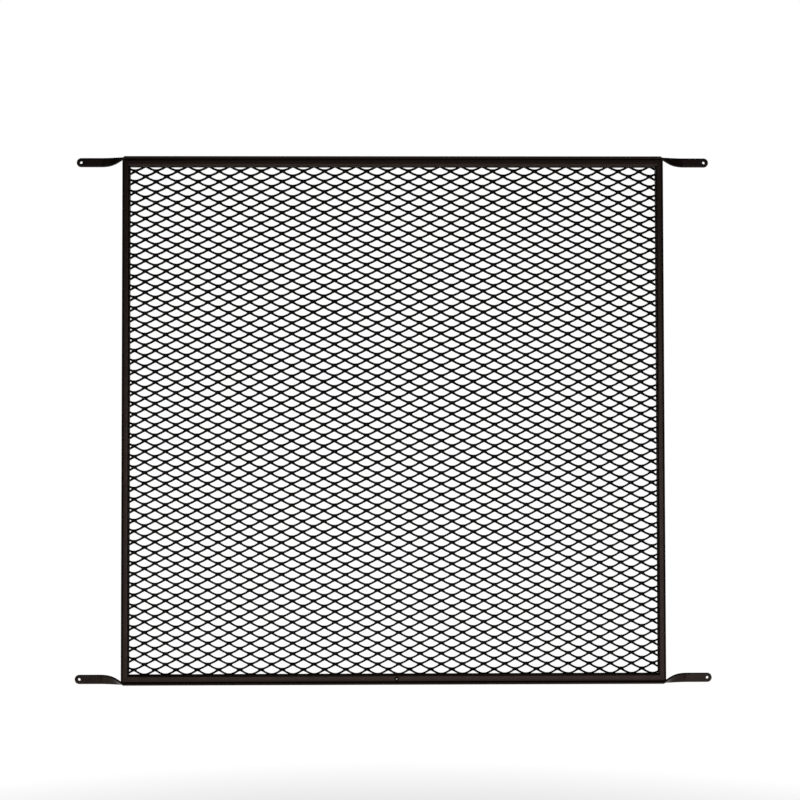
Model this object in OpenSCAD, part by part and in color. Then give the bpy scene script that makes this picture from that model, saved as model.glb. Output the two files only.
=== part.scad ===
// Expanded-metal guard panel: a sheet of raised expanded metal held in a mitred
// channel frame, with a twisted flat bar along the top and the bottom. The four
// twisted ends are screw tabs.
// Millimetres. X runs across the panel, Z up, and the front faces -Y.
// The origin is the middle of the four screw holes, in the plane of the tabs' backs.

/* [Frame] */
// Width across the frame, outside the side rails
frame_w = 650.6; // [300:0.1:900]
// Height of the frame, outside the top and bottom rails
frame_h = 626.6; // [300:0.1:900]
// Width of a rail's face
rail_face = 9.6; // [8:0.1:16]
// Sheet thickness of the rails
rail_gauge = 1.0; // [0.6:0.1:1.6]
// Outside radius of the rails' bends
bend_r = 3.2; // [1.8:0.1:3.3]

/* [Straps] */
// Width of the flat bar, which is also the depth of the frame
strap_w = 11.1; // [9.5:0.1:16]
// Thickness of the flat bar, whose edges are fully round
strap_t = 3.2; // [2:0.1:4]
// Reach of each tab beyond the side of the frame
tab_reach = 55.7; // [54:0.1:90]
// Length of bar taken up by each quarter turn
twist_len = 25; // [16:0.5:30]
// How soon the turn is made: 1 turns evenly, and more turns quickly at first and then eases
twist_ease = 1.6; // [1:0.1:3]
// How far the axis of the turn lies inside the bar's back edge
twist_inset = 0.6; // [0:0.1:1]
// Diameter of the screw holes
screw_d = 3.2; // [3:0.1:5]

/* [Expanded mesh] */
// Pitch of the diamonds across the sheet
pitch_x = 25.4; // [20:0.1:40]
// Pitch of the diamonds up the sheet
pitch_z = 12.7; // [10:0.1:20]
// Width of a strand
strand_w = 2.2; // [1:0.1:3]
// Thickness of a strand
strand_t = 1.2; // [0.8:0.1:1.6]
// Width of the edge strip inside the rails, where the sheet is tacked to them
edge_strip = 4; // [2:0.5:6]
// Depth of the slot between the rails' lips, which clears the raised strands
slot_d = 4.4; // [3.5:0.1:5]

/* [Rivet] */
// Diameter of the rivet's shank
rivet_d = 3.2; // [2.4:0.1:4]
// Diameter of the rivet's domed head
rivet_head_d = 5.4; // [4.5:0.1:7]
// Height of the domed head
rivet_head_h = 1.0; // [0.6:0.1:1.6]
// Diameter of the stem left in the rivet
mandrel_d = 1.9; // [1.2:0.1:2.2]
// Sideways place of the rivet, from the middle of the panel
rivet_x = 3.2; // [-5:0.1:5]
// Height of the rivet above the bottom of the frame
rivet_up = 4.1; // [3.9:0.1:4.5]

/* [Hidden] */
$fn = 48;
quarter = 90;
twist_steps = 20;
edge_steps = 8;
dome_fn = 96;
eps = 0.01;
frame_d = strap_w;
mid_y = -frame_d / 2;
tab_r = strap_w / 2;
bar_reach = strap_w - strap_t;
sheet_w = frame_w - 2 * rail_gauge;
sheet_h = frame_h - 2 * rail_gauge;
strand_slope = atan(pitch_z / pitch_x);
strand_count = ceil((sheet_w / pitch_x + sheet_h / pitch_z) / 2);
layer_gap = 0.02;
row_phase = 0.25;
rivet_z = rivet_up - frame_h / 2;
bulb_start = frame_d / 2 + strand_t;
bulb_ratio = 1.5;
stem_ratio = 0.8;
mandrel_head_h = 1.0;
back_gap = 0.3;
bulb_end = frame_d - rail_gauge - back_gap - mandrel_head_h;
bulb_d = rivet_d * bulb_ratio;
stem_rise = rivet_head_h * stem_ratio;
black_paint = [0.08, 0.075, 0.07];
bare_steel = [0.62, 0.61, 0.58];

// Puts a round solid drawn along Z at the rivet's place, pointing back from the frame's front face.
module at_rivet() {
    translate([rivet_x, -frame_d, rivet_z])
        rotate([-90, 0, 0])
            children();
}

// A rectangle from the origin into +X, centred on Y, with four round corners.
module rounded_section(length, depth, r) {
    translate([r, -depth / 2])
        square([length - 2 * r, depth]);
    translate([0, -depth / 2 + r])
        square([length, depth - 2 * r]);
    for (u = [r, length - r], v = [r - depth / 2, depth / 2 - r])
        translate([u, v])
            circle(r);
}

// The rails' section: web at the origin, lips turned in towards the slot.
module channel_section() {
    difference() {
        rounded_section(rail_face, frame_d, bend_r);
        translate([rail_gauge, 0])
            rounded_section(rail_face - 2 * rail_gauge, frame_d - 2 * rail_gauge, bend_r - rail_gauge);
        translate([rail_face / 2, -slot_d / 2])
            square([rail_face, slot_d]);
    }
}

// One rail along X with its web up at z = 0, cut to 45 degrees at both ends.
module mitred_rail(length) {
    intersection() {
        translate([-length / 2, mid_y, 0])
            rotate([90, 90, 90])
                linear_extrude(length)
                    channel_section();
        rotate([90, 0, 0])
            linear_extrude(frame_d)
                polygon([
                    [-length / 2, 0],
                    [length / 2, 0],
                    [length / 2 - rail_face, -rail_face],
                    [-length / 2 + rail_face, -rail_face],
                ]);
    }
}

module top_rail() {
    color(black_paint)
        translate([0, 0, frame_h / 2])
            mitred_rail(frame_w);
}

module bottom_rail() {
    color(black_paint)
        difference() {
            translate([0, 0, -frame_h / 2])
                mirror([0, 0, 1])
                    mitred_rail(frame_w);
            at_rivet()
                translate([0, 0, -eps])
                    cylinder(h = bend_r, d = rivet_d);
        }
}

// Turns a rail upright on the right-hand side.
module side_rail() {
    translate([frame_w / 2, 0, 0])
        rotate([0, 90, 0])
            mitred_rail(frame_h);
}

module right_rail() {
    color(black_paint)
        side_rail();
}

module left_rail() {
    color(black_paint)
        mirror([1, 0, 0])
            side_rail();
}

// The gaps between parallel strands that lean one way, inside the sheet's edge strip.
module gaps(lean) {
    reach = sheet_w + sheet_h;
    step = pitch_z * cos(strand_slope);
    intersection() {
        square([sheet_w - 2 * edge_strip, sheet_h - 2 * edge_strip], center = true);
        rotate(lean * strand_slope)
            for (i = [-strand_count:strand_count])
                translate([-reach, (i + lean * row_phase) * step + strand_w / 2])
                    square([2 * reach, step - strand_w]);
    }
}

// All the strands that lean one way, joined by the edge strip.
module strand_layer(lean) {
    linear_extrude(strand_t - layer_gap / 2)
        difference() {
            square([sheet_w, sheet_h], center = true);
            gaps(lean);
        }
}

// The two sets of strands cross at the bonds, and the edge strip joins them.
module expanded_mesh() {
    color(black_paint)
        difference() {
            translate([0, mid_y, 0])
                rotate([90, 0, 0]) {
                    translate([0, 0, layer_gap / 2])
                        strand_layer(1);
                    mirror([0, 0, 1])
                        translate([0, 0, layer_gap / 2])
                            strand_layer(-1);
                    linear_extrude(layer_gap, center = true)
                        difference() {
                            square([sheet_w, sheet_h], center = true);
                            square([sheet_w - 2 * edge_strip, sheet_h - 2 * edge_strip], center = true);
                        }
                }
            at_rivet()
                cylinder(h = frame_d, d = rivet_d);
        }
}

// The bar's section, lying flat, with the middle of its back edge's round at the origin.
module bar_section() {
    translate([-bar_reach, -strap_t / 2])
        square([bar_reach, strap_t]);
    for (y = [-bar_reach, 0])
        translate([y, 0])
            circle(d = strap_t, $fn = 2 * edge_steps);
}

// How far the bar has turned at a share of the way along its turned length.
function turn_at(share) = quarter * (1 - pow(1 - share, twist_ease));

// A flat point swung about the origin.
function swung(p, angle) = [p[0] * cos(angle) - p[1] * sin(angle), p[0] * sin(angle) + p[1] * cos(angle)];

// The points round a section just inside the bar's: its back edge's round, then its front edge's.
function bar_outline() = [
    for (side = [0, 1], i = [0:edge_steps])
        let (a = quarter - 2 * quarter * (side + i / edge_steps))
        (strap_t / 2 - eps) * [cos(a), sin(a)] - [side * bar_reach, 0]
];

// The quarter turn that swings the bar's front edge inwards, about an axis near its back edge.
module quarter_turn() {
    outline = bar_outline();
    n = len(outline);
    inset = [twist_inset, -twist_inset];
    points = [
        for (k = [0:twist_steps], p = outline)
            let (q = swung(p - inset, turn_at(k / twist_steps)) + inset)
            [twist_len * k / twist_steps, q[0], q[1]]
    ];
    walls = [
        for (k = [0:twist_steps - 1], i = [0:n - 1])
            let (a = k * n + i, b = k * n + (i + 1) % n)
            each [[a, b, b + n], [a, b + n, a + n]]
    ];
    caps = [
        [for (i = [n - 1:-1:0]) i],
        [for (i = [0:n - 1]) twist_steps * n + i],
    ];
    polyhedron(points, concat(walls, caps));
}

// The upright end of a bar, from the end of the twist to its rounded tip.
module screw_tab(length) {
    difference() {
        intersection() {
            rotate([0, -90, 180])
                linear_extrude(length)
                    bar_section();
            translate([0, strap_t / 2, -bar_reach / 2])
                rotate([90, 0, 0])
                    linear_extrude(strap_t) {
                        translate([0, -tab_r])
                            square([length - tab_r, strap_w]);
                        translate([length - tab_r, 0])
                            circle(tab_r);
                    }
        }
        translate([length - tab_r, strap_t / 2 + eps, -bar_reach / 2])
            rotate([90, 0, 0])
                cylinder(h = strap_t + 2 * eps, d = screw_d);
    }
}

// One whole bar on top of the frame, its outer face at z = 0.
module strap() {
    translate([0, -strap_t / 2, -strap_t / 2]) {
        translate([-frame_w / 2, 0, 0])
            rotate([90, 0, 90])
                linear_extrude(frame_w)
                    bar_section();
        for (side = [0, 1])
            mirror([side, 0, 0])
                translate([frame_w / 2, 0, 0]) {
                    quarter_turn();
                    translate([twist_len, 0, -2 * twist_inset])
                        screw_tab(tab_reach - twist_len);
                }
    }
}

module top_strap() {
    color(black_paint)
        translate([0, 0, frame_h / 2 + strap_t])
            strap();
}

module bottom_strap() {
    color(black_paint)
        mirror([0, 0, 1])
            translate([0, 0, frame_h / 2 + strap_t])
                strap();
}

// Half the outline of the rivet: domed head, shank, and the bulb behind the sheet.
module rivet_outline() {
    dome_r = (pow(rivet_head_d / 2, 2) + pow(rivet_head_h, 2)) / (2 * rivet_head_h);
    intersection() {
        translate([0, dome_r - rivet_head_h])
            circle(dome_r, $fn = dome_fn);
        translate([0, -rivet_head_h])
            square([rivet_head_d / 2, rivet_head_h]);
    }
    square([rivet_d / 2, bulb_end]);
    translate([0, bulb_start])
        square([bulb_d / 2, bulb_end - bulb_start]);
}

module rivet_body() {
    color(black_paint)
        at_rivet()
            rotate_extrude()
                difference() {
                    rivet_outline();
                    translate([0, -rivet_head_h - eps])
                        square([mandrel_d / 2, rivet_head_h + bulb_end + 2 * eps]);
                }
}

// The stem, broken off just under the dome, with its head against the bulb.
module rivet_mandrel() {
    color(bare_steel)
        at_rivet()
            rotate_extrude() {
                translate([0, -stem_rise])
                    square([mandrel_d / 2, stem_rise + bulb_end]);
                translate([0, bulb_end])
                    square([rivet_d / 2, mandrel_head_h]);
            }
}

expanded_mesh();
top_rail();
bottom_rail();
left_rail();
right_rail();
top_strap();
bottom_strap();
rivet_body();
rivet_mandrel();
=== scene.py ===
"""The looks of an expanded-metal guard panel: a finer mesh and a paint for every CAD piece.

It also makes a floor, lights and a camera. Metres, Z up, and the front faces -Y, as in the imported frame.
Places and outer sizes come from the frame's boxes.
"""

import math

import bmesh
import bpy
from mathutils import Matrix, Vector


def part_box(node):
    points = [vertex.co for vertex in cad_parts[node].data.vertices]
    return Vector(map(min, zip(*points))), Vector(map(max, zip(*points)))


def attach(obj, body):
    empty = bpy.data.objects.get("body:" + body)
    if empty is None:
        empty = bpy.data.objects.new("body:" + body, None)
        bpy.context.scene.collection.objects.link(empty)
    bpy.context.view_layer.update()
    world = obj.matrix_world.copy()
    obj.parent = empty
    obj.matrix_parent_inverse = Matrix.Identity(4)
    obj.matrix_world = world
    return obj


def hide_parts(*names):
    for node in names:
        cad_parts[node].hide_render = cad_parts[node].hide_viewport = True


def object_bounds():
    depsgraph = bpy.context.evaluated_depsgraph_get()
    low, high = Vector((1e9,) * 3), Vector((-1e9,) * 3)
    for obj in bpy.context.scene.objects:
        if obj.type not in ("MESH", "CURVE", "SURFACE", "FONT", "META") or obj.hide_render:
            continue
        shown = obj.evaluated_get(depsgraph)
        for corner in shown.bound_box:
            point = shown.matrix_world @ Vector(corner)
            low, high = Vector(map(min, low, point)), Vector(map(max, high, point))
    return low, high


MM = 0.001
BODY = "root"
QUARTER_TURN = math.pi / 2

# --- Shape ---

# Raised expanded metal: the lattice, and the metal of one strand.
PITCH_X = 25.4 * MM
PITCH_Z = 12.7 * MM
METAL_WIDTH = 2.3 * MM
METAL_THICKNESS = 1.25 * MM

# What is added to a strand below and above, in millimetres like the rows of STRAND. It stands for the paint,
# but is more than paint alone would add: the rest was chosen so that the mesh looks as dark as in the photo.
EDGE_BUILD = 0.25

# Uneven stretch of the sheet: its cells are a little larger in the middle and smaller near the rails.
SHEET_SHIFT = -0.5 * MM
SPREAD_X = 1.7 * MM
SPREAD_Z = 1.8 * MM
SIDE_PULL = 1.5 * MM

# One strand from the bond at its peak to the bond at its valley. Each row gives how far along it is, how far
# its front lower edge and its back upper edge lie under the peak bond's middle, all in millimetres, the lean
# of its width from upright in degrees, and the share of its way from the back of the sheet to the front.
STRAND = [
    (0.0, 1.34, -0.824, 45, 0.0),
    (2.2, 2.35, -0.54, 48, 0.0),
    (4.95, 3.95, 1.64, 58, 0.28),
    (7.75, 5.08, 2.95, 58, 0.72),
    (10.5, 6.82, 3.93, 48, 1.0),
    (12.7, 6.233, 4.07, 45, 1.0),
]
LAST = len(STRAND) - 1

# In a bond, a strand's lower corners are the upper corners of the strand in the row below.
SHARED_CORNERS = {0: 1, 3: 2}

# Rolled channel of the rails.
GAUGE = 1.0 * MM
BEND_RADIUS = 3.2 * MM
SLOT = 4.4 * MM
BEND_STEPS = 10
MITRE_CHAMFER = 0.35 * MM

# Flat bars with round edges and screw tabs. The turn's start and end are measured from the frame's side.
BAR_THICKNESS = 3.2 * MM
TWIST_START = -3 * MM
TWIST_END = 26 * MM
TWIST_STEPS = 40
TWIST_EASE = 1.6
TWIST_INSET = 0.6 * MM
EDGE_STEPS = 10
TIP_STEPS = 32
SCREW_HOLE_RADIUS = 1.6 * MM

# Drilled holes. The drill's length is given in thicknesses of what it passes through.
DRILL_LENGTH = 3
RIM_WELD = 0.02 * MM
HOLE_BEVEL = 0.2 * MM
HOLE_BEVEL_STEPS = 2
HOLE_BEVEL_ANGLE = 60

# Blind rivet: its head, its shank, and the bulb that the stem's head has pulled up behind the face.
RIVET_SHANK_RADIUS = 1.6 * MM
RIVET_HEAD_HEIGHT = 1.0 * MM
RIVET_RIM = 0.3 * MM
RIM_LIFT = 0.05 * MM
RIM_CHAMFER = 0.1 * MM
BULB_RATIO = 1.5
BULB_LENGTH = 1.35 * MM
BULB_SHOULDER = 0.4 * MM
BULB_ROUND = 0.2 * MM
BULB_END = 0.5 * MM
BORE_CLEARANCE = 0.02 * MM

# The stem inside the rivet, with a cupped front end.
MANDREL_RADIUS = 0.93 * MM
MANDREL_HEAD_LENGTH = 1.0 * MM
MANDREL_HEAD_CHAMFER = 0.3 * MM
STEM_TIP_SHARE = 0.82
STEM_EDGE = 0.12 * MM
STEM_CUP = [(0.02 * MM, 0.12 * MM), (0.3 * MM, 0.1 * MM), (0.55 * MM, -0.04 * MM)]

LATHE_STEPS = 64
DOME_STEPS = 10

# Angles, in degrees, past which an edge is drawn sharp.
SHARP_ROLLED = 35
SHARP_STRAND = 40
SHARP_TURNED = 50

# --- Paint ---

# Each enamel: its base colour, roughness, strength of orange peel, and level of its reflections.
# The mesh's base colour is darker than the rails', though both are the same black paint, to stand for the
# shade on the strands: painted shade.
MESH_ENAMEL_AND_SHADE = ((0.0028, 0.0024, 0.0022), 0.42, 0.25, 0.08)
RAIL_ENAMEL = ((0.0085, 0.0055, 0.004), 0.27, 0.6, 0.4)
BAR_ENAMEL = ((0.008, 0.0055, 0.0042), 0.27, 0.6, 0.34)
# The rivet's base colour is darker than the rails' to stand for the shade around the rivet's head: painted
# shade.
RIVET_ENAMEL_AND_SHADE = ((0.004, 0.0034, 0.003), 0.4, 0.2, 0.12)

# Colour of the enamel's reflections, how its haze multiplies the base colour, and what a nib adds to it.
WARM_SHEEN = (1.0, 0.74, 0.67)
BROWN_HAZE = (1.75, 1.45, 1.15)
NIB_PALENESS = 0.02

# How far the roughness of cloudy enamel falls and rises.
GLOSS_FALL = 0.05
GLOSS_RISE = 0.07

# Sizes of the enamel's features across its surface, and their depths.
HAZE_SIZE = 35 * MM
CLOUD_SIZE = 9 * MM
MOTTLE_SIZE = 2.6 * MM
PEEL_SIZE = 1.6 * MM
NIB_SIZE = 0.9 * MM
MOTTLE_DEPTH = 0.12 * MM
PEEL_DEPTH = 0.06 * MM
NIB_DEPTH = 0.05 * MM
NIB_STRENGTH = 0.5

# Values of noise between which a feature fades in.
CLOUD_FADE = (0.3, 0.7)
HAZE_FADE = (0.35, 0.7)
NIB_FADE = (0.7, 0.78)

# Bare steel of the torn stem.
STEEL_DARK = (0.5, 0.49, 0.46)
STEEL_BRIGHT = (0.82, 0.81, 0.78)
STEEL_SMOOTH = 0.28
STEEL_ROUGH = 0.5
STEEL_GRAIN = 0.25 * MM
STEEL_GRAIN_DEPTH = 0.05 * MM
STEEL_GRAIN_STRENGTH = 0.6

# --- Studio ---

FLOOR_DROP = 300 * MM
FLOOR_RADIUS = 1.6
FLOOR_DARK = (0.84, 0.84, 0.84)
FLOOR_LIGHT = (0.88, 0.88, 0.88)
FLOOR_ROUGHNESS = 0.9
FLOOR_PATCH = 0.4

# The floor's glow, and the shares of its radius between which it rises.
GLOW_INSIDE = 0.5
GLOW_OUTSIDE = 0.97
GLOW_START = 0.3
GLOW_END = 0.95

# How much light the white surround gives to anything but the camera.
SURROUND_LIGHT = 0.02

# Soft lights, all aimed at the origin: place, width, height in metres, and power in watts.
SOFTBOXES = {
    "front_softbox": ((0.22, -2.6, -0.22), 1.9, 1.0, 8.7),
    "upper_softbox": ((0.1, -2.6, 0.8), 2.4, 0.8, 0.9),
    "left_softbox": ((-1.7, -1.6, 1.2), 1.0, 1.0, 1),
    "top_softbox": ((0.2, -0.5, 1.8), 1.2, 1.2, 1.5),
    "back_left_softbox": ((-1.5, 2.2, 0.5), 1.0, 1.6, 7),
    "back_right_softbox": ((1.5, 2.2, 0.5), 1.0, 1.6, 7),
}

# Camera: distance, turn and rise around the point it looks at, which is given from the middle of the panel.
# Angles are in degrees, and the lens and the sensor in millimetres.
CAMERA_DISTANCE = 2.2
CAMERA_AZIMUTH = 0.83
CAMERA_ELEVATION = -1.85
CAMERA_ROLL = -0.1
CAMERA_LENS = 82.3
CAMERA_SENSOR = 36
CAMERA_AIM = (7.8 * MM, 0.0, 23.4 * MM)

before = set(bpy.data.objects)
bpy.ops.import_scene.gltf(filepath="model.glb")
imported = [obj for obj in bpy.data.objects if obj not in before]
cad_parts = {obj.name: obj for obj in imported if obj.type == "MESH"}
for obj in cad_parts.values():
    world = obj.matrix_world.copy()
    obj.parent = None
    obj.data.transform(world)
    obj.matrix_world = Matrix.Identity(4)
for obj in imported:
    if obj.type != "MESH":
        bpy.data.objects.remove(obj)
CAD_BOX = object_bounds()


# --- Mesh helpers ---


def centre_of(node):
    """The middle of a CAD node's box."""
    low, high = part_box(node)
    return (Vector(low) + Vector(high)) / 2


def size_of(node):
    """The size of a CAD node's box."""
    low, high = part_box(node)
    return Vector(high) - Vector(low)


def make_piece(name, vertices, faces, material, nodes, sharp_degrees=SHARP_ROLLED):
    """A shaded mesh object that rides on the body and stands for CAD nodes."""
    mesh = bpy.data.meshes.new(name)
    mesh.from_pydata([tuple(v) for v in vertices], [], faces)
    mesh.validate()
    work = bmesh.new()
    work.from_mesh(mesh)
    bmesh.ops.recalc_face_normals(work, faces=work.faces)
    work.to_mesh(mesh)
    work.free()
    shade(mesh, sharp_degrees)
    piece = bpy.data.objects.new(name, mesh)
    bpy.context.scene.collection.objects.link(piece)
    mesh.materials.append(material)
    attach(piece, BODY)
    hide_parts(*nodes)
    return piece


def shade(mesh, sharp_degrees):
    """Smooth shading with sharp edges past an angle."""
    mesh.polygons.foreach_set("use_smooth", [True] * len(mesh.polygons))
    mesh.set_sharp_from_angle(angle=math.radians(sharp_degrees))


def bake(piece):
    """Turns a piece's modifiers into its mesh."""
    bpy.context.view_layer.update()
    evaluated = piece.evaluated_get(bpy.context.evaluated_depsgraph_get())
    finished = bpy.data.meshes.new_from_object(evaluated)
    piece.modifiers.clear()
    piece.data = finished


def flatten_normals(piece):
    """Keeps the shading of broad faces flat up to their rounded edges."""
    weigh = piece.modifiers.new("normals", "WEIGHTED_NORMAL")
    weigh.keep_sharp = True
    bake(piece)


def drill(piece, holes, radius, thickness):
    """Cuts round holes along Y through a piece, joins close points on their rims and breaks their edges."""
    tool_mesh = bpy.data.meshes.new("drill")
    work = bmesh.new()
    for hole in holes:
        bmesh.ops.create_cone(
            work,
            cap_ends=True,
            segments=LATHE_STEPS,
            radius1=radius,
            radius2=radius,
            depth=DRILL_LENGTH * thickness,
            matrix=Matrix.Translation(hole) @ Matrix.Rotation(QUARTER_TURN, 4, "X"),
        )
    work.to_mesh(tool_mesh)
    work.free()
    tool = bpy.data.objects.new("drill", tool_mesh)
    bpy.context.scene.collection.objects.link(tool)
    cut = piece.modifiers.new("holes", "BOOLEAN")
    cut.operation = "DIFFERENCE"
    cut.solver = "EXACT"
    cut.object = tool
    weld = piece.modifiers.new("joined_rims", "WELD")
    weld.merge_threshold = RIM_WELD
    bevel = piece.modifiers.new("broken_edges", "BEVEL")
    bevel.width = HOLE_BEVEL
    bevel.segments = HOLE_BEVEL_STEPS
    bevel.limit_method = "ANGLE"
    bevel.angle_limit = math.radians(HOLE_BEVEL_ANGLE)
    bake(piece)
    shade(piece.data, SHARP_ROLLED)
    bpy.data.objects.remove(tool)


def lathe(profile, centre, front_y):
    """Turns a closed profile of (radius, depth behind the front face) about the Y axis through centre."""
    vertices, faces = [], []
    count = len(profile)
    for step in range(LATHE_STEPS):
        angle = 2 * math.pi * step / LATHE_STEPS
        for radius, depth in profile:
            x = centre.x + radius * math.cos(angle)
            z = centre.z + radius * math.sin(angle)
            vertices.append((x, front_y + depth, z))
    for step in range(LATHE_STEPS):
        here, there = step * count, (step + 1) % LATHE_STEPS * count
        for i in range(count):
            j = (i + 1) % count
            faces.append((here + i, here + j, there + j, there + i))
    return vertices, faces


# --- Materials ---


class Nodes:
    """A short way to build one node material."""

    def __init__(self, name):
        self.material = bpy.data.materials.new(name)
        self.material.use_nodes = True
        self.tree = self.material.node_tree
        self.shader = self.tree.nodes["Principled BSDF"]
        self.place = self.add("ShaderNodeTexCoord").outputs["Object"]

    def add(self, kind, **values):
        """A new node with some of its properties set."""
        node = self.tree.nodes.new(kind)
        for key, value in values.items():
            setattr(node, key, value)
        return node

    def link(self, source, target):
        """Feeds one socket into another."""
        self.tree.links.new(source, target)

    def noise(self, size, detail, roughness=0.5):
        """Noise whose features are about size metres across."""
        node = self.add("ShaderNodeTexNoise")
        node.inputs["Scale"].default_value = 1 / size
        node.inputs["Detail"].default_value = detail
        node.inputs["Roughness"].default_value = roughness
        self.link(self.place, node.inputs["Vector"])
        return node.outputs["Fac"]

    def ramp(self, source, taken, given):
        """Maps a value between the two ends of taken to one between the two ends of given."""
        node = self.add("ShaderNodeMapRange")
        for key, value in zip(("From Min", "From Max", "To Min", "To Max"), (*taken, *given)):
            node.inputs[key].default_value = value
        self.link(source, node.inputs["Value"])
        return node.outputs["Result"]

    def mix(self, share, first, second):
        """Blends two colours, each a tuple or a socket, by share."""
        node = self.add("ShaderNodeMix", data_type="RGBA")
        self.link(share, node.inputs[0])
        for socket, colour in ((node.inputs[6], first), (node.inputs[7], second)):
            if isinstance(colour, tuple):
                socket.default_value = (*colour, 1)
            else:
                self.link(colour, socket)
        return node.outputs[2]

    def bump(self, height, distance, strength, below=None):
        """Relief of a height, laid over the relief below it."""
        node = self.add("ShaderNodeBump")
        node.inputs["Strength"].default_value = strength
        node.inputs["Distance"].default_value = distance
        self.link(height, node.inputs["Height"])
        if below is not None:
            self.link(below, node.inputs["Normal"])
        return node.outputs["Normal"]


def black_paint(name, coat, gloss, peel, sheen):
    """Sprayed black enamel: orange peel, faint brown haze, cloudy gloss and a few dust nibs."""
    n = Nodes(name)
    haze = n.ramp(n.noise(HAZE_SIZE, detail=4), HAZE_FADE, (0, 1))
    cloud = n.noise(CLOUD_SIZE, detail=3)
    mottle = n.noise(MOTTLE_SIZE, detail=2)
    nibs = n.ramp(n.noise(NIB_SIZE, detail=1), NIB_FADE, (0, 1))
    brown = tuple(c * k for c, k in zip(coat, BROWN_HAZE))
    dusty = tuple(c + NIB_PALENESS for c in coat)
    n.link(n.mix(nibs, n.mix(haze, coat, brown), dusty), n.shader.inputs["Base Color"])
    roughness = n.ramp(cloud, CLOUD_FADE, (gloss - GLOSS_FALL, gloss + GLOSS_RISE))
    n.link(roughness, n.shader.inputs["Roughness"])
    mottled = n.bump(mottle, MOTTLE_DEPTH, peel)
    skin = n.bump(n.noise(PEEL_SIZE, detail=2), PEEL_DEPTH, peel, mottled)
    n.link(n.bump(nibs, NIB_DEPTH, NIB_STRENGTH, skin), n.shader.inputs["Normal"])
    n.shader.inputs["Specular IOR Level"].default_value = sheen
    n.shader.inputs["Specular Tint"].default_value = (*WARM_SHEEN, 1)
    return n.material


def bare_stem(name):
    """Broken steel stem: bright and grainy."""
    n = Nodes(name)
    grain = n.noise(STEEL_GRAIN, detail=5, roughness=0.7)
    colour = n.mix(n.ramp(grain, CLOUD_FADE, (0, 1)), STEEL_DARK, STEEL_BRIGHT)
    n.link(colour, n.shader.inputs["Base Color"])
    n.link(n.ramp(grain, CLOUD_FADE, (STEEL_SMOOTH, STEEL_ROUGH)), n.shader.inputs["Roughness"])
    n.link(n.bump(grain, STEEL_GRAIN_DEPTH, STEEL_GRAIN_STRENGTH), n.shader.inputs["Normal"])
    n.shader.inputs["Metallic"].default_value = 1.0
    return n.material


def floor_paint():
    """Pale matte studio floor that brightens to white towards its rim."""
    n = Nodes("studio_floor")
    colour = n.mix(n.noise(FLOOR_PATCH, detail=2), FLOOR_DARK, FLOOR_LIGHT)
    n.link(colour, n.shader.inputs["Base Color"])
    n.shader.inputs["Roughness"].default_value = FLOOR_ROUGHNESS
    n.shader.inputs["Emission Color"].default_value = (1, 1, 1, 1)
    distance = n.add("ShaderNodeVectorMath", operation="LENGTH")
    n.link(n.place, distance.inputs[0])
    rise = (GLOW_START * FLOOR_RADIUS, GLOW_END * FLOOR_RADIUS)
    glow = n.ramp(distance.outputs["Value"], rise, (GLOW_INSIDE, GLOW_OUTSIDE))
    n.link(glow, n.shader.inputs["Emission Strength"])
    return n.material


# --- Expanded mesh ---


def strand_corners(station, level, mid_y):
    """A strand's corners (y, z) at one station: front lower, front upper, back upper, back lower."""
    _, low, high, lean, forward = STRAND[station]
    lean = math.radians(lean)
    width_up, width_out = METAL_WIDTH * math.cos(lean), METAL_WIDTH * math.sin(lean)
    thick_up, thick_in = METAL_THICKNESS * math.sin(lean), METAL_THICKNESS * math.cos(lean)
    low, high = low + EDGE_BUILD, high - EDGE_BUILD
    stretch = (low - high) * MM / (width_up + thick_up)
    z = level - low * MM
    y = mid_y - thick_in / 2 + width_out * (1 - forward)
    return [
        (y, z),
        (y - width_out, z + stretch * width_up),
        (y - width_out + thick_in, z + stretch * (width_up + thick_up)),
        (y + thick_in, z + stretch * thick_up),
    ]


def stretched(x, z, middle, size):
    """Where a point of an even lattice lies in the real, unevenly stretched sheet."""
    across, up = 2 * (x - middle.x) / size.x, 2 * (z - middle.z) / size.z
    swell_x = math.sin(math.pi * across) * math.cos(math.pi / 2 * up)
    swell_z = math.sin(math.pi * up) * math.cos(math.pi / 2 * across)
    return x + SHEET_SHIFT + SPREAD_X * swell_x - SIDE_PULL * across, z + SPREAD_Z * swell_z


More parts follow.
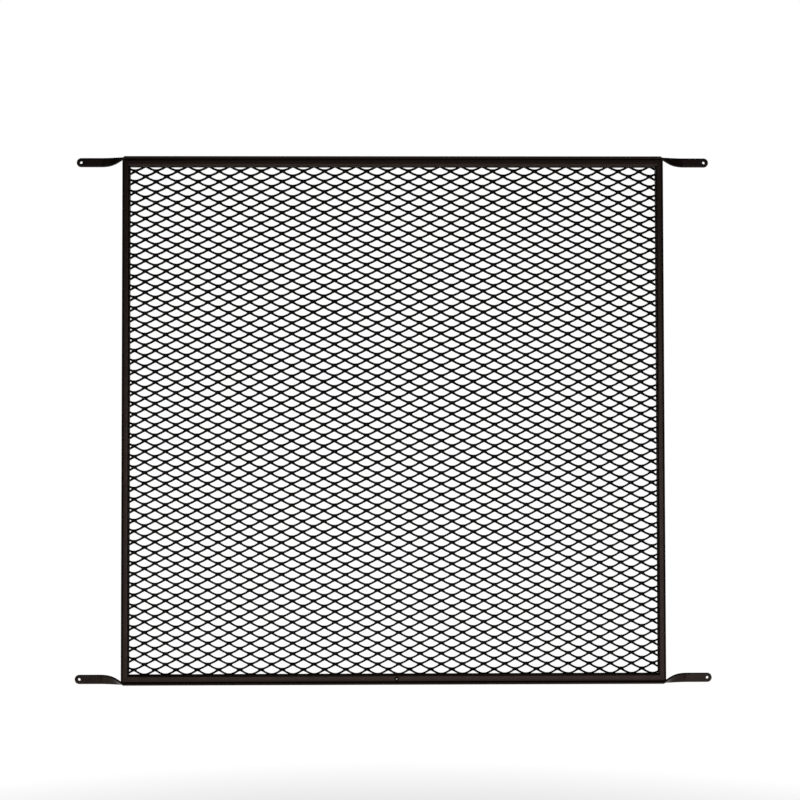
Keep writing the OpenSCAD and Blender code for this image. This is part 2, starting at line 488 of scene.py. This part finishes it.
def expanded_mesh():
    """Rows of leaning strands as one closed skin, each row bonded at its valleys to the peaks of the next."""
    size, middle = size_of("expanded_mesh"), centre_of("expanded_mesh")
    half_x, half_z = PITCH_X / 2, PITCH_Z / 2
    halves = int((size.x / 2 - half_x / 2) / half_x) * 2 + 1
    start_x = middle.x - halves * half_x / 2
    lowest = -int(size.z / 2 / half_z)
    rows = range(lowest, -lowest)
    columns = halves * LAST + 1
    vertices, faces, index = [], [], {}

    def station_of(row, column):
        """The station, from peak to valley, of a row's strand at a column."""
        half, step = divmod(column, LAST)
        falling = (half + row) % 2 == 1
        return step if falling else LAST - step

    for row in rows:
        level = middle.z + (row + 1) * half_z
        for column in range(columns):
            half, step = divmod(column, LAST)
            x = start_x + half * half_x + STRAND[step][0] * MM
            station = station_of(row, column)
            for corner, (y, z) in enumerate(strand_corners(station, level, middle.y)):
                shared = SHARED_CORNERS.get(corner)
                if station >= LAST - 1 and shared is not None and row > lowest:
                    index[row, column, corner] = index[row - 1, column, shared]
                    continue
                index[row, column, corner] = len(vertices)
                shifted_x, shifted_z = stretched(x, z, middle, size)
                vertices.append((shifted_x, y, shifted_z))

    for row in rows:
        for column in range(columns - 1):
            here, there = station_of(row, column), station_of(row, column + 1)
            in_peak = max(here, there) <= 1 and row < rows[-1]
            in_valley = min(here, there) >= LAST - 1 and row > lowest
            for a in range(4):
                # Two strands meet here inside a bond, so there is no skin between them.
                if (a == 1 and in_peak) or (a == 3 and in_valley):
                    continue
                b = (a + 1) % 4
                corners = ((column, a), (column, b), (column + 1, b), (column + 1, a))
                faces.append(tuple(index[row, place, corner] for place, corner in corners))
        for column in (0, columns - 1):
            faces.append(tuple(index[row, column, a] for a in range(4)))
    # The mesh enamel's darker base colour is painted shade on the strands.
    paint = black_paint("mesh_enamel_and_painted_shade", *MESH_ENAMEL_AND_SHADE)
    nodes = ["expanded_mesh"]
    return make_piece("raised_mesh", vertices, faces, paint, nodes, SHARP_STRAND)


# --- Rails ---


def channel_walls(face, depth):
    """The channel's skin as outer and inner points (u, v), u in from the web and v back from the middle."""
    walls = [((face, -SLOT / 2), (face - GAUGE, -SLOT / 2))]
    near, far, side = BEND_RADIUS, face - BEND_RADIUS, depth / 2 - BEND_RADIUS
    inner = BEND_RADIUS - GAUGE
    for u, v, begin in ((far, -side, 0), (near, -side, -90), (near, side, -180), (far, side, -270)):
        for step in range(BEND_STEPS + 1):
            angle = math.radians(begin - 90 * step / BEND_STEPS)
            across, back = math.cos(angle), math.sin(angle)
            outer_point = (u + BEND_RADIUS * across, v + BEND_RADIUS * back)
            walls.append((outer_point, (u + inner * across, v + inner * back)))
    walls.append(((face, SLOT / 2), (face - GAUGE, SLOT / 2)))
    return walls


def rail(node, place, length, face, depth, material):
    """One mitred channel. place turns (along, in from the web, back from the middle) into a point."""
    walls = channel_walls(face, depth)
    vertices, faces = [], []
    for side in (-1, 1):
        for inset in (MITRE_CHAMFER, 0):
            for outer, inner in walls:
                worn = 0 if inset else MITRE_CHAMFER / 2 / GAUGE
                for (u, v), (u_other, v_other) in ((outer, inner), (inner, outer)):
                    u_end, v_end = u + (u_other - u) * worn, v + (v_other - v) * worn
                    vertices.append(place(side * (length / 2 - u_end - inset), u_end, v_end))
    count = len(walls)

    def quad(first, second):
        """A face from two corners on one ring to two on another, each a ring, a wall and a skin."""
        corners = (first[0], first[1], second[1], second[0])
        faces.append(tuple(ring * 2 * count + wall * 2 + skin for ring, wall, skin in corners))

    for near, far in ((1, 0), (0, 2), (2, 3)):
        for wall in range(count - 1):
            for skin in (0, 1):
                quad(
                    ((near, wall, skin), (near, wall + 1, skin)),
                    ((far, wall, skin), (far, wall + 1, skin)),
                )
        for wall in (0, count - 1):
            quad(((near, wall, 0), (near, wall, 1)), ((far, wall, 0), (far, wall, 1)))
    for ring in (1, 3):
        for wall in range(count - 1):
            quad(((ring, wall, 0), (ring, wall + 1, 0)), ((ring, wall, 1), (ring, wall + 1, 1)))
    return make_piece(f"{node}_channel", vertices, faces, material, [node])


def rails():
    """The four rails, with the rivet's hole in the front of the bottom one."""
    paint = black_paint("rail_enamel", *RAIL_ENAMEL)
    middle_y = centre_of("top_rail").y
    width, depth, face = size_of("top_rail")
    height = size_of("left_rail").z
    left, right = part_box("left_rail")[0][0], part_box("right_rail")[1][0]
    bottom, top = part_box("bottom_rail")[0][2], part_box("top_rail")[1][2]
    places = {
        "top_rail": (width, lambda s, u, v: (s, middle_y + v, top - u)),
        "bottom_rail": (width, lambda s, u, v: (s, middle_y + v, bottom + u)),
        "left_rail": (height, lambda s, u, v: (left + u, middle_y + v, s)),
        "right_rail": (height, lambda s, u, v: (right - u, middle_y + v, s)),
    }
    made = {}
    for node, (length, place) in places.items():
        made[node] = rail(node, place, length, face, depth, paint)
    rivet_place = centre_of("rivet_body")
    front = Vector((rivet_place.x, middle_y - depth / 2, rivet_place.z))
    drill(made["bottom_rail"], [front], RIVET_SHANK_RADIUS, GAUGE)
    for piece in made.values():
        flatten_normals(piece)


# --- Straps ---


def bar_outline(width):
    """The bar's section (along its width, across its thickness), from its back edge's round's middle."""
    r = BAR_THICKNESS / 2
    reach = width - BAR_THICKNESS
    points = []
    for centre, begin in ((0, 90), (-reach, -90)):
        for step in range(EDGE_STEPS + 1):
            angle = math.radians(begin - 180 * step / EDGE_STEPS)
            points.append((centre + r * math.cos(angle), r * math.sin(angle)))
        points.append((-reach / 2, -r if begin == 90 else r))
    return points


def strap(node, outer_z, up, material):
    """A flat bar whose two ends turn a quarter, near its back edge, and end in rounded, drilled tabs."""
    rail_low, rail_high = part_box("top_rail")
    width = rail_high[1] - rail_low[1]
    half_frame = size_of("top_rail").x / 2
    tab_radius = width / 2
    tip_x = size_of(node).x / 2 - tab_radius
    back_y = rail_high[1] - BAR_THICKNESS / 2
    axis_z = outer_z - up * BAR_THICKNESS / 2
    outline = bar_outline(width)
    count = len(outline)
    vertices, faces = [], []

    def ring(x, turn):
        """One section of the bar, turned about an axis that lies inside its back edge."""
        for a, b in outline:
            a, b = a - TWIST_INSET, b + TWIST_INSET
            y = a * math.cos(turn) - b * math.sin(turn) + TWIST_INSET
            z = a * math.sin(turn) + b * math.cos(turn) - TWIST_INSET
            vertices.append((x, back_y + y, axis_z + up * z))

    stations = []
    for step in range(TWIST_STEPS + 1):
        share = step / TWIST_STEPS
        x = half_frame + TWIST_START + (TWIST_END - TWIST_START) * share
        stations.append((x, QUARTER_TURN * (1 - (1 - share) ** TWIST_EASE)))
    stations.append((tip_x, QUARTER_TURN))
    for x, turn in [(-x, turn) for x, turn in reversed(stations)] + stations:
        ring(x, turn)
    for k in range(2 * len(stations) - 1):
        for i in range(count):
            j = (i + 1) % count
            faces.append((k * count + i, k * count + j, (k + 1) * count + j, (k + 1) * count + i))

    # Turning about the inset axis leaves the tab further in, towards the panel's middle, by twice the inset.
    middle = width / 2 - BAR_THICKNESS / 2
    tip_z = axis_z - up * (middle + 2 * TWIST_INSET)
    half = EDGE_STEPS + 1
    upper = [count - 1, *range(half + 1)]
    lower = [count - 1, *range(2 * half, half, -1), half]
    for side, base in ((-1, 0), (1, (2 * len(stations) - 1) * count)):
        before = [base + i for i in upper]
        axis = (before[0], before[-1])
        for step in range(1, TIP_STEPS):
            angle = math.pi * step / TIP_STEPS
            now = [axis[0]]
            for i in upper[1:-1]:
                a, b = outline[i]
                reach = a + middle
                now.append(len(vertices))
                x = side * (tip_x + reach * math.sin(angle))
                vertices.append((x, back_y - b, tip_z + up * reach * math.cos(angle)))
            now.append(axis[1])
            faces.extend(tip_faces(before, now))
            before = now
        faces.extend(tip_faces(before, [base + i for i in lower]))
    piece = make_piece(f"{node}_bar", vertices, faces, material, [node])
    holes = [Vector((side * tip_x, back_y, tip_z)) for side in (-1, 1)]
    drill(piece, holes, SCREW_HOLE_RADIUS, BAR_THICKNESS)
    flatten_normals(piece)


def tip_faces(before, now):
    """The faces between two half outlines of a rounded tip, which share their first and last points."""
    faces = [(before[0], before[1], now[1])]
    for i in range(1, len(before) - 2):
        faces.append((before[i], before[i + 1], now[i + 1], now[i]))
    faces.append((before[-2], before[-1], now[-2]))
    return faces


def straps():
    """The bar on top of the frame, and the same bar upside down under it."""
    paint = black_paint("bar_enamel", *BAR_ENAMEL)
    strap("top_strap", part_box("top_strap")[1][2], 1, paint)
    strap("bottom_strap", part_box("bottom_strap")[0][2], -1, paint)


# --- Rivet ---


def rivet():
    """The blind rivet's head, shank and bulb, hollow for the stem, and the stem."""
    centre = centre_of("rivet_body")
    low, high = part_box("rivet_body")
    face_y = low[1] + RIVET_HEAD_HEIGHT
    head_radius = (high[0] - low[0]) / 2
    depth = high[1] - face_y
    bulb_radius = RIVET_SHANK_RADIUS * BULB_RATIO
    bore = MANDREL_RADIUS + BORE_CLEARANCE
    profile = []
    for step in range(DOME_STEPS + 1):
        angle = step / DOME_STEPS * math.pi / 2
        radius = bore + (head_radius - bore) * math.sin(angle)
        profile.append((radius, -RIVET_RIM - (RIVET_HEAD_HEIGHT - RIVET_RIM) * math.cos(angle)))
    bulb = depth - BULB_LENGTH
    profile += [
        (head_radius, -RIM_LIFT),
        (head_radius - RIM_CHAMFER, 0),
        (RIVET_SHANK_RADIUS, 0),
        (RIVET_SHANK_RADIUS, bulb - BULB_SHOULDER),
        (bulb_radius - BULB_ROUND, bulb),
        (bulb_radius, bulb + BULB_SHOULDER),
        (bulb_radius, depth - BULB_END),
        (bulb_radius - BULB_SHOULDER, depth),
        (bore, depth),
    ]
    vertices, faces = lathe(profile, centre, face_y)
    # The rivet enamel's darker base colour is painted shade around the rivet's head.
    paint = black_paint("rivet_enamel_and_painted_shade", *RIVET_ENAMEL_AND_SHADE)
    nodes = ["rivet_body"]
    make_piece("rivet_head_and_shank", vertices, faces, paint, nodes, SHARP_TURNED)
    mandrel(centre, face_y, depth)


def mandrel(centre, face_y, depth):
    """The stem inside the rivet, with its torn front end and its head at the back."""
    tip = -STEM_TIP_SHARE * RIVET_HEAD_HEIGHT
    end = depth + MANDREL_HEAD_LENGTH
    profile = [(radius, tip + below) for radius, below in STEM_CUP]
    profile += [
        (MANDREL_RADIUS - STEM_EDGE, tip),
        (MANDREL_RADIUS, tip + STEM_EDGE),
        (MANDREL_RADIUS, depth),
        (RIVET_SHANK_RADIUS, depth),
        (RIVET_SHANK_RADIUS, end - MANDREL_HEAD_CHAMFER),
        (RIVET_SHANK_RADIUS - MANDREL_HEAD_CHAMFER, end),
        (STEM_CUP[0][0], end),
    ]
    vertices, faces = lathe(profile, centre, face_y)
    steel = bare_stem("torn_steel")
    nodes = ["rivet_mandrel"]
    make_piece("rivet_stem", vertices, faces, steel, nodes, SHARP_TURNED)


# --- Scene ---


def studio_floor():
    """A round pale floor some way under the panel."""
    work = bmesh.new()
    bmesh.ops.create_circle(work, cap_ends=True, segments=LATHE_STEPS, radius=FLOOR_RADIUS)
    mesh = bpy.data.meshes.new("floor")
    work.to_mesh(mesh)
    work.free()
    mesh.materials.append(floor_paint())
    floor = bpy.data.objects.new("floor", mesh)
    floor.location.z = CAD_BOX[0][2] - FLOOR_DROP
    bpy.context.scene.collection.objects.link(floor)


def white_surround():
    """White where the camera sees it and almost dark elsewhere, like a dim studio with a lit backdrop."""
    world = bpy.data.worlds.new("studio")
    bpy.context.scene.world = world
    world.use_nodes = True
    tree = world.node_tree
    background = tree.nodes["Background"]
    background.inputs["Color"].default_value = (1, 1, 1, 1)
    rays = tree.nodes.new("ShaderNodeLightPath")
    strength = tree.nodes.new("ShaderNodeMapRange")
    strength.inputs["To Min"].default_value = SURROUND_LIGHT
    strength.inputs["To Max"].default_value = 1.0
    tree.links.new(rays.outputs["Is Camera Ray"], strength.inputs["Value"])
    tree.links.new(strength.outputs["Result"], background.inputs["Strength"])


def lights():
    """The softboxes, each turned to face the origin."""
    for name, (place, width, height, power) in SOFTBOXES.items():
        light = bpy.data.lights.new(name, "AREA")
        light.shape = "RECTANGLE"
        light.size = width
        light.size_y = height
        light.energy = power
        lamp = bpy.data.objects.new(name, light)
        lamp.location = place
        lamp.rotation_euler = (-Vector(place)).to_track_quat("-Z", "Y").to_euler()
        bpy.context.scene.collection.objects.link(lamp)


def camera():
    """The camera at the photograph's viewing angle."""
    middle = (Vector(CAD_BOX[0]) + Vector(CAD_BOX[1])) / 2
    aim = Vector((middle.x, 0, middle.z)) + Vector(CAMERA_AIM)
    turn, rise = math.radians(CAMERA_AZIMUTH), math.radians(CAMERA_ELEVATION)
    forward = Vector((math.sin(turn) * math.cos(rise), math.cos(turn) * math.cos(rise), -math.sin(rise)))
    data = bpy.data.cameras.new("camera")
    data.lens = CAMERA_LENS
    data.sensor_width = CAMERA_SENSOR
    eye = bpy.data.objects.new("camera", data)
    eye.location = aim - forward * CAMERA_DISTANCE
    level = forward.to_track_quat("-Z", "Y")
    roll = Matrix.Rotation(math.radians(CAMERA_ROLL), 3, "Z").to_quaternion()
    eye.rotation_euler = (level @ roll).to_euler()
    bpy.context.scene.collection.objects.link(eye)
    bpy.context.scene.camera = eye


expanded_mesh()
rails()
straps()
rivet()
studio_floor()
white_surround()
lights()
camera()
bpy.context.scene.view_settings.view_transform = "Standard"
